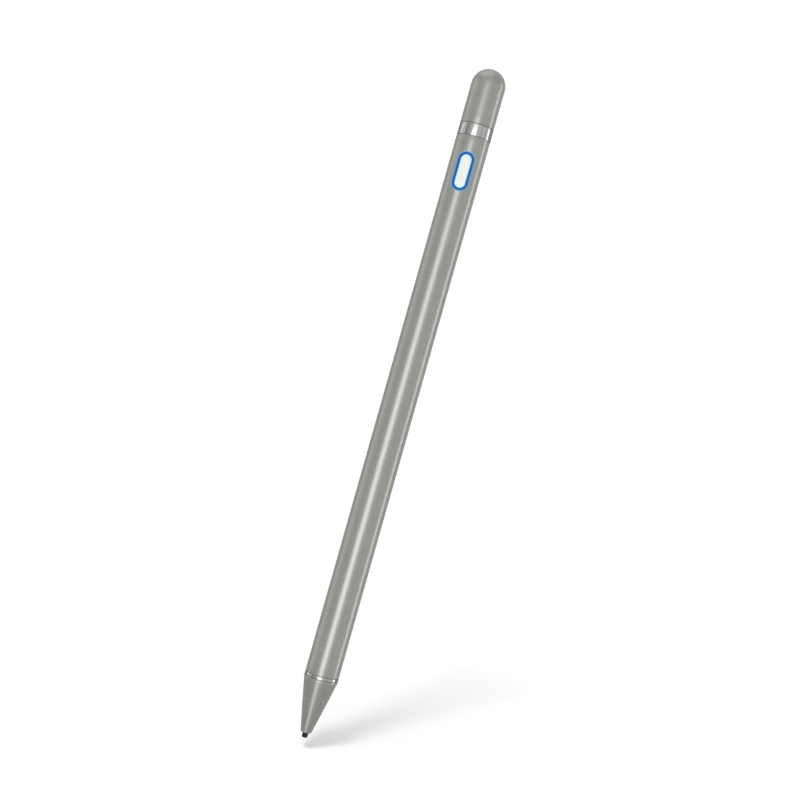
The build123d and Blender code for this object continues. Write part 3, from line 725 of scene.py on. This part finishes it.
    copper = m.either(tracks(x, z, 0.46, 4.30, 0.46, 0.085, 3.0), tracks(z, x, 0.92, 1.84, 0.24, 0.085, 8.0))
    lane, off_x = m.grid(x, 0.92)
    run, off_z = m.grid(z, 1.84)
    spot = m.radius(off_x, off_z)
    drilled = m.both(m.below(m.lot(lane, run, 21.0), 0.30, 0.001), flat)
    plated = m.both(m.both(m.below(spot, 0.21), m.above(spot, 0.10)), drilled)
    hole = m.both(m.below(spot, 0.10), drilled)
    mask = m.blend(copper, m.ramp(fine, (0.30, (0.010, 0.088, 0.034)), (0.70, (0.013, 0.108, 0.042))), m.ramp(fine, (0.30, (0.020, 0.165, 0.062)), (0.70, (0.025, 0.190, 0.073))))
    layers = m.noise(1.0, 2.0, 0.5, m.stretch(900.0, 14000.0, 900.0))
    laminate = m.ramp(layers, (0.35, (0.26, 0.235, 0.115)), (0.65, (0.40, 0.37, 0.21)))
    colour = m.blend(flat, laminate, mask)
    colour = m.blend(plated, colour, (0.78, 0.58, 0.26))
    m.put(
        Base_Color=m.blend(hole, colour, (0.006, 0.010, 0.007)),
        Metallic=plated,
        Roughness=m.math("ADD", m.span(fine, 0.28, 0.40), m.span(flat, 0.25, 0.0, 0.0, 1.0)),
        Coat_Weight=0.25,
        Coat_Roughness=0.15,
        Normal=m.bump(m.math("SUBTRACT", m.either(copper, plated), hole), 0.35, 2.5e-5),
    )
    M["board"] = m
    # capacitors: tan ceramic, with tinned ends
    m = Mat("ceramic_tan")
    x, y, z = m.in_mm()
    fine = m.noise(5000.0, 3.0)
    tinned = m.above(m.nearest(z, 114.0, 119.0, 124.0, 130.0, 131.5, 138.0, 143.0), 0.50)
    m.put(
        Base_Color=m.blend(tinned, m.ramp(fine, (0.30, (0.36, 0.26, 0.165)), (0.70, (0.46, 0.34, 0.22))), m.ramp(fine, (0.30, (0.60, 0.60, 0.61)), (0.70, (0.72, 0.72, 0.72)))),
        Metallic=tinned,
        Roughness=m.math("SUBTRACT", m.span(fine, 0.40, 0.55), m.math("MULTIPLY", tinned, 0.16)),
        Normal=m.bump(m.math("ADD", m.math("MULTIPLY", fine, 0.4), tinned), 0.20, 1.5e-5),
    )
    M["ceramic"] = m
    # light-emitting chips: white cup, yellow fill on top, gilt ends
    m = Mat("led_chip")
    x, y, z = m.in_mm()
    nx, ny, nz = m.facing()
    fine = m.noise(4200.0, 2.0)
    along = m.away(m.away(z, BUTTON_Z), 3.3)
    ends = m.above(along, 0.58)
    fill = m.both(m.both(m.below(along, 0.40, 0.03), m.below(m.math("ABSOLUTE", x), 0.27, 0.03)), m.above(ny, 0.5, 0.1))
    colour = m.blend(fill, m.ramp(fine, (0.30, (0.74, 0.74, 0.72)), (0.70, (0.82, 0.82, 0.80))), m.ramp(fine, (0.30, (0.80, 0.62, 0.10)), (0.70, (0.88, 0.72, 0.16))))
    m.put(
        Base_Color=m.blend(ends, colour, (0.84, 0.64, 0.28)),
        Metallic=ends,
        Roughness=m.math("SUBTRACT", m.span(fine, 0.34, 0.44), m.math("MULTIPLY", fill, 0.20)),
        Normal=m.bump(m.math("SUBTRACT", ends, fill), 0.25, 2.0e-5),
    )
    M["led"] = m

    def moulded(name, legs, dot_x, dot_z, dot_r):
        """Black chip moulding with a dimple that marks its first leg, and tinned legs where legs(x, y, z) is 1."""
        m = Mat(name)
        x, y, z = m.in_mm()
        fine = m.noise(6000.0, 3.0)
        bare = legs(m, x, y, z)
        dimple = m.both(m.below(m.radius(m.math("SUBTRACT", x, dot_x), m.math("SUBTRACT", z, dot_z)), dot_r, 0.025), m.above(m.facing()[1], 0.5, 0.1))
        black = m.ramp(m.noise(900.0, 2.0), (0.30, (0.022, 0.022, 0.023)), (0.70, (0.032, 0.032, 0.033)))
        m.put(
            Base_Color=m.blend(bare, m.blend(dimple, black, (0.055, 0.055, 0.056)), m.ramp(fine, (0.30, (0.58, 0.58, 0.58)), (0.70, (0.70, 0.70, 0.69)))),
            Metallic=bare,
            Roughness=m.math("SUBTRACT", m.span(fine, 0.50, 0.64), m.either(m.math("MULTIPLY", bare, 0.28), m.math("MULTIPLY", dimple, 0.24))),
            Normal=m.bump(m.math("SUBTRACT", m.math("MULTIPLY", fine, 0.25), dimple), 0.30, 2.0e-5),
        )
        return m

    def pads(m, x, y, z):
        """Pads half a millimetre apart along the chip's foot, on all four sides."""
        nx, ny, nz = m.facing()
        foot = m.above(y, -0.66)
        on_x = m.both(m.above(nx, 0.5, 0.1), m.both(m.below(m.math("ABSOLUTE", m.grid(m.math("SUBTRACT", z, 126.25), 0.5)[1]), 0.125), m.below(m.away(z, 126.0), 1.5)))
        on_z = m.both(m.above(nz, 0.5, 0.1), m.both(m.below(m.math("ABSOLUTE", m.grid(m.math("SUBTRACT", x, 0.25), 0.5)[1]), 0.125), m.below(m.math("ABSOLUTE", x), 1.5)))
        return m.both(foot, m.either(on_x, on_z))

    M["micro"] = moulded("controller_moulding", pads, -1.45, 124.55, 0.20)
    M["charger"] = moulded("charger_moulding", lambda m, x, y, z: m.above(m.math("ABSOLUTE", x), 0.81, 0.01), -0.50, 135.00, 0.15)
    # coil: dark ferrite with a coarse sintered grain
    M["ferrite"] = plastic("ferrite_core", (0.052, 0.050, 0.049), 0.60, grain=4200.0, depth=0.35, vary=0.20)
    return M


NODE_FINISH = {
    "nib_core": "brass", "tip_insulator": "insulator", "front_bush": "brass", "contact_block": "black", "contact_spring": "spring",
    "contact_terminal": "brass", "tip_lead": "yellow", "battery_cell": "cell", "battery_pad_front": "foam", "battery_pad_rear": "foam",
    "battery_leads": "leads", "board_carrier": "carrier", "main_board": "board", "microcontroller": "micro", "charger_chip": "charger",
    "boost_inductor": "ferrite", "capacitors": "ceramic", "indicator_leds": "led", "switch_body": "steel", "switch_plunger": "black",
    "tail_plug": "plug", "usb_shell": "steel", "usb_tongue": "black", "usb_contacts": "gold", "cap_liner": "black", "cap_magnet": "nickel",
}

mats = make_materials()
for node, key in NODE_FINISH.items():
    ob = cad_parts[node]
    if not ob.material_slots:
        ob.data.materials.append(mats[key].m)
    for s in ob.material_slots:
        s.material = mats[key].m

PIECES = [
    (make_nib(), "tip", "nib", "nib_black", "nib"),
    (make_cone(), "tip", "nose_cone", "body_paint", "body"),
    (make_band("front_band", 2.48, 15.98, 16.82, 0.16), "front_trim", "front_ring", "ring_chrome", "ring"),
    (make_barrel(), "barrel", "barrel", "body_paint", "barrel"),
    (make_light_ring(), "barrel", "light_ring", "light_blue", "light"),
    (make_key(), "button", "button_key", "key_white", "key"),
    (make_band("rear_band", 3.81, 158.14, 161.25, 0.10), "barrel", "rear_ring", "ring_chrome", "ring"),
    (make_cap(), "cap", "cap", "body_paint", "body"),
]
for ob, body, node, slot_name, key in PIECES:
    ob.data.materials.append(mats[key].m)
    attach(ob, body)
    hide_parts(node)

# ------------------------------------------------------------------ camera
az, roll = math.radians(CAM_AZ), math.radians(CAM_ROLL)
front = Vector((math.sin(az), -math.cos(az), 0.0))  # from the pen to the camera
side = Vector((math.cos(az), math.sin(az), 0.0))
up0 = Vector((0.0, 0.0, 1.0))
right = side * math.cos(roll) + up0 * math.sin(roll)
up = up0 * math.cos(roll) - side * math.sin(roll)
cam_data = bpy.data.cameras.new("view")
cam_data.sensor_width = 36.0
cam_data.lens = CAM_LENS
cam_data.clip_start, cam_data.clip_end = 0.01, 50.0
cam = bpy.data.objects.new("view", cam_data)
place = front * (CAM_DIST * MM) + side * (CAM_SIDE * MM) + up0 * (CAM_Z * MM)
cam.matrix_world = Matrix(
    (
        (right.x, up.x, front.x, place.x),
        (right.y, up.y, front.y, place.y),
        (right.z, up.z, front.z, place.z),
        (0.0, 0.0, 0.0, 1.0),
    )
)
scene.collection.objects.link(cam)
scene.camera = cam

# ------------------------------------------------------------------ floor
me = bpy.data.meshes.new("floor")
bm = bmesh.new()
bmesh.ops.create_grid(bm, x_segments=8, y_segments=8, size=4.0, matrix=Matrix.Translation((0.0, 0.0, FLOOR_Z * MM)))
bm.to_mesh(me)
bm.free()
floor = bpy.data.objects.new("floor", me)
scene.collection.objects.link(floor)
m = Mat("pale_floor")
m.put(
    Base_Color=m.ramp(m.noise(400.0, 2.0), (0.3, (0.79, 0.79, 0.80)), (0.7, (0.80, 0.80, 0.81))),
    Roughness=0.9,
    Specular_IOR_Level=0.0,
    Emission_Color=(1.0, 1.0, 1.0),
    Emission_Strength=0.220,
)
m.m.cycles.emission_sampling = "NONE"
me.materials.append(m.m)
# the table doesn't show in the pen's own finish
floor.visible_glossy = False
floor.visible_diffuse = False
floor.visible_shadow = False

# ------------------------------------------------------------------ light
def at(angle, dist, height):
    """Point round the pen: angle in degrees from the camera's side, positive to the right."""
    a = az + math.radians(angle)
    return Vector((math.sin(a) * dist, -math.cos(a) * dist, height))


not_floor = bpy.data.collections.new("lit_without_floor")
not_floor.objects.link(floor)
not_floor.collection_objects[0].light_linking.link_state = "EXCLUDE"
only_floor = bpy.data.collections.new("lit_floor")
only_floor.objects.link(floor)
only_band = bpy.data.collections.new("lit_band")
only_band.objects.link(bpy.data.objects["rear_band"])
only_paint = bpy.data.collections.new("lit_paint")
for name in ("cone_shell", "barrel_tube", "cap_shell"):
    only_paint.objects.link(bpy.data.objects[name])


def softbox(name, angle, dist, height, target_z, w, h, radiance):
    d = bpy.data.lights.new(name, "AREA")
    d.shape, d.size, d.size_y = "RECTANGLE", w, h
    d.energy = radiance * 4 * w * h
    ob = bpy.data.objects.new(name, d)
    p = at(angle, dist, height)
    back = (p - Vector((0.0, 0.0, target_z))).normalized()
    x = up0.cross(back).normalized() if abs(back.z) < 0.999 else side
    y = back.cross(x)
    ob.matrix_world = Matrix(((x.x, y.x, back.x, p.x), (x.y, y.y, back.y, p.y), (x.z, y.z, back.z, p.z), (0, 0, 0, 1)))
    ob.visible_camera = False
    ob.light_linking.receiver_collection = not_floor
    scene.collection.objects.link(ob)
    return ob


# the front light is brightest low down, and its foot stands further left
softbox("front_top", -7.6, 0.60, 0.2390, 0.2390, 0.29, 0.098, 1.30)
softbox("front_upper", -8.0, 0.60, 0.1250, 0.1250, 0.29, 0.130, 1.45)
softbox("front_lower", -8.3, 0.60, -0.1200, -0.1200, 0.29, 0.360, 1.68)
softbox("front_foot", -16.0, 0.60, -0.4500, -0.4500, 0.26, 0.300, 1.04)
softbox("right_strip", 97.3, 0.60, 0.1375, 0.1375, 0.143, 0.675, 1.70)
softbox("right_fill", 66.0, 0.60, 0.10, 0.10, 0.45, 0.80, 0.22)
softbox("left_strip", -103.0, 0.60, 0.110, 0.110, 0.26, 0.62, 0.25)
softbox("left_wide", -90.0, 0.61, 0.125, 0.125, 0.44, 0.65, 0.25)
softbox("back_box", 182.0, 0.80, 0.10, 0.10, 0.35, 0.70, 1.4)
softbox("top_box", -81.0, 0.334, 1.172, 0.172, 1.05, 1.05, 0.40)
ring_kick = softbox("ring_kick", -7.6, 0.60, 0.2850, 0.2850, 0.28, 0.180, 0.62)
ring_kick.light_linking.receiver_collection = only_band
left_fill = softbox("left_fill", -62.0, 0.60, 0.10, 0.10, 0.30, 0.80, 0.085)
left_fill.light_linking.receiver_collection = only_paint
right_rim = softbox("right_rim", 137.0, 0.60, 0.10, 0.10, 0.25, 0.80, 0.10)
right_rim.light_linking.receiver_collection = only_paint


def floor_sun(name, angle, height, spread, strength):
    """Light that only falls on the floor and so throws the pen's shadow."""
    d = bpy.data.lights.new(name, "SUN")
    d.energy, d.angle = strength, math.radians(spread)
    ob = bpy.data.objects.new(name, d)
    h = math.radians(height)
    ob.rotation_mode = "QUATERNION"
    ob.rotation_quaternion = at(angle, math.cos(h), math.sin(h)).to_track_quat("Z", "Y")
    ob.light_linking.receiver_collection = only_floor
    scene.collection.objects.link(ob)


floor_sun("shadow_sun", -20.8, 42.5, 9.0, 1.30)
floor_sun("shadow_soft", -20.8, 46.0, 30.0, 0.85)

world = bpy.data.worlds.new("studio")
scene.world = world
world.use_nodes = True
nt = world.node_tree
nt.nodes.clear()
out = nt.nodes.new("ShaderNodeOutputWorld")
mix = nt.nodes.new("ShaderNodeMixShader")
path = nt.nodes.new("ShaderNodeLightPath")
room, white = nt.nodes.new("ShaderNodeBackground"), nt.nodes.new("ShaderNodeBackground")
white.inputs["Color"].default_value = (1.0, 1.0, 1.0, 1.0)
white.inputs["Strength"].default_value = 1.05
tc = nt.nodes.new("ShaderNodeTexCoord")
dot = nt.nodes.new("ShaderNodeVectorMath")
dot.operation = "DOT_PRODUCT"
dot.inputs[1].default_value = front
rng = nt.nodes.new("ShaderNodeMapRange")
rng.inputs["From Min"].default_value, rng.inputs["From Max"].default_value = -1.0, 1.0
tone = nt.nodes.new("ShaderNodeValToRGB")


def fill(ramp, stops, blue):
    while len(ramp.color_ramp.elements) < len(stops):
        ramp.color_ramp.elements.new(0.5)
    for e, (pos, v) in zip(ramp.color_ramp.elements, stops):
        e.position, e.color = pos, (v, v, v * blue, 1.0)


# the room is brighter behind the camera and dim at the sides
fill(tone, [(0.0, 0.40), (0.14, 0.47), (0.27, 0.47), (0.50, 0.37), (0.72, 0.35), (0.83, 0.46), (0.92, 0.64), (1.0, 0.85)], 0.985)
nt.links.new(tc.outputs["Generated"], dot.inputs[0])
nt.links.new(dot.outputs["Value"], rng.inputs["Value"])
nt.links.new(rng.outputs["Result"], tone.inputs["Fac"])
nt.links.new(tone.outputs["Color"], room.inputs["Color"])
# and it is brighter overhead than at the level of the table
height, rise, level = nt.nodes.new("ShaderNodeSeparateXYZ"), nt.nodes.new("ShaderNodeMapRange"), nt.nodes.new("ShaderNodeValToRGB")
rise.inputs["From Min"].default_value, rise.inputs["From Max"].default_value = -1.0, 1.0
fill(level, [(0.0, 0.99), (0.20, 0.99), (0.39, 0.92), (0.61, 1.05), (0.95, 1.40)], 1.0)
nt.links.new(tc.outputs["Generated"], height.inputs[0])
nt.links.new(height.outputs["Z"], rise.inputs["Value"])
nt.links.new(rise.outputs["Result"], level.inputs["Fac"])
nt.links.new(level.outputs["Color"], room.inputs["Strength"])
nt.links.new(path.outputs["Is Camera Ray"], mix.inputs["Fac"])
nt.links.new(room.outputs["Background"], mix.inputs[1])
nt.links.new(white.outputs["Background"], mix.inputs[2])
nt.links.new(mix.outputs["Shader"], out.inputs["Surface"])

scene.view_settings.view_transform = "Standard"
scene.view_settings.look = "None"
